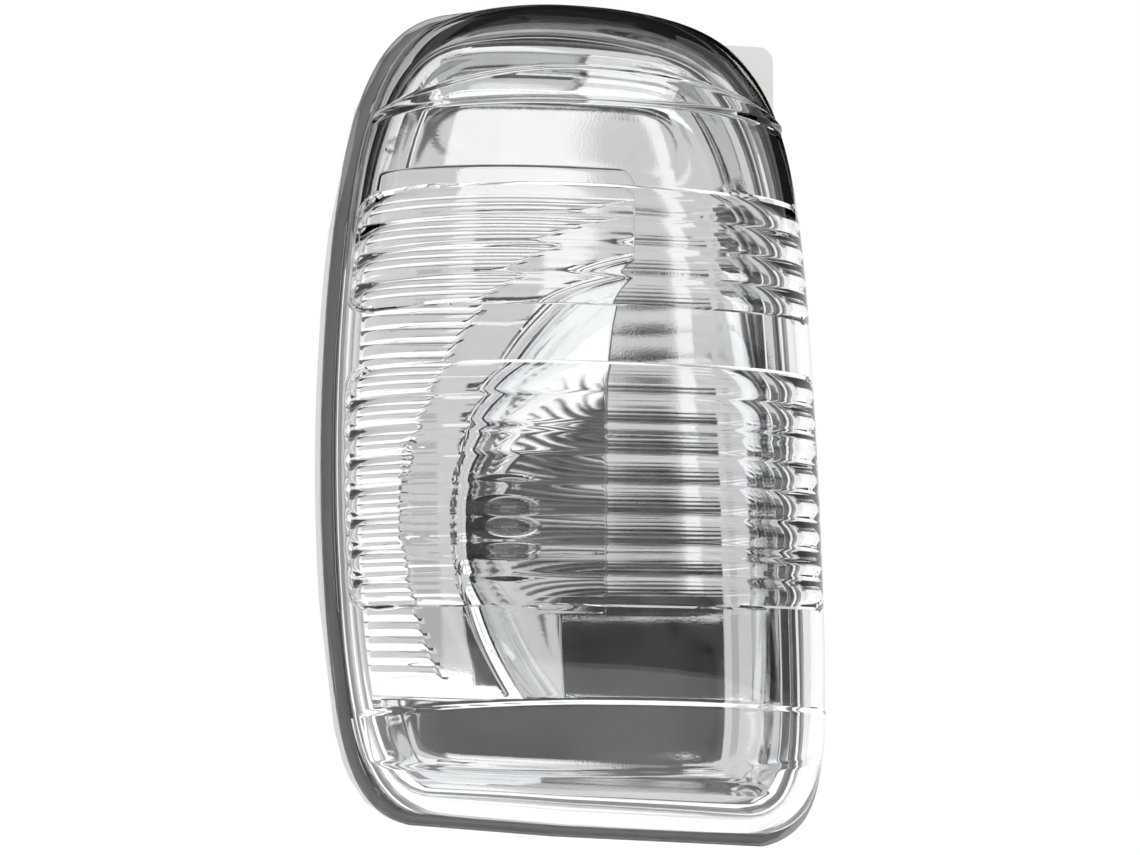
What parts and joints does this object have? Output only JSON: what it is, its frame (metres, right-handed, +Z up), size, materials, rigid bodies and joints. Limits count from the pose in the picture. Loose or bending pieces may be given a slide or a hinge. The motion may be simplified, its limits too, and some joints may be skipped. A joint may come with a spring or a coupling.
{
  "type": "mirror turn signal lamp",
  "caption": "Tall turn signal lamp for a door mirror: clear fluted lens over a bright reflector, grey back shell, wedge bulb in a twist-in holder.",
  "frame": {"origin": "midway between the two fixing inserts, on the plane where the bosses meet the mirror", "axes": "+Z up along the lamp's height, +Y out of the back towards the mirror, +X to the right seen from the front"},
  "size_m": [0.086, 0.071, 0.1421],
  "materials": {
    "clear_lens": "clear moulded acrylic, polished outside, fluted inside",
    "metallised": "vacuum metallised, mirror bright",
    "grey_plastic": "moulded, fine satin",
    "seal_glue": "cured grey sealing compound",
    "bulb_glass": "clear bulb glass",
    "filament_wire": "coiled tungsten wire",
    "lead_wire": "drawn wire",
    "holder_plastic": "glass filled, satin",
    "black_rubber": "moulded rubber",
    "contact_metal": "tinned spring strip",
    "screw_steel": "zinc plated",
    "insert_brass": "knurled brass",
    "white_membrane": "breathable film",
    "spring_steel": "blued spring steel",
    "felt": "pressed felt"
  },
  "bodies": {
    "root": {"lens": "clear_lens", "reflector": "metallised", "housing": "grey_plastic", "lens_seal": "seal_glue", "bulb_glass": "bulb_glass", "bulb_filament": "filament_wire", "left_lead_wire": "lead_wire", "right_lead_wire": "lead_wire", "holder_body": "holder_plastic", "holder_seal": "black_rubber", "left_contact": "contact_metal", "right_contact": "contact_metal", "reflector_screws": "screw_steel", "screw_washers": "screw_steel", "fixing_inserts": "insert_brass", "vent_cap": "holder_plastic", "vent_membrane": "white_membrane", "spring_clip": "spring_steel", "upper_felt_pad": "felt", "lower_felt_pad": "felt"}
  },
  "joints": []
}
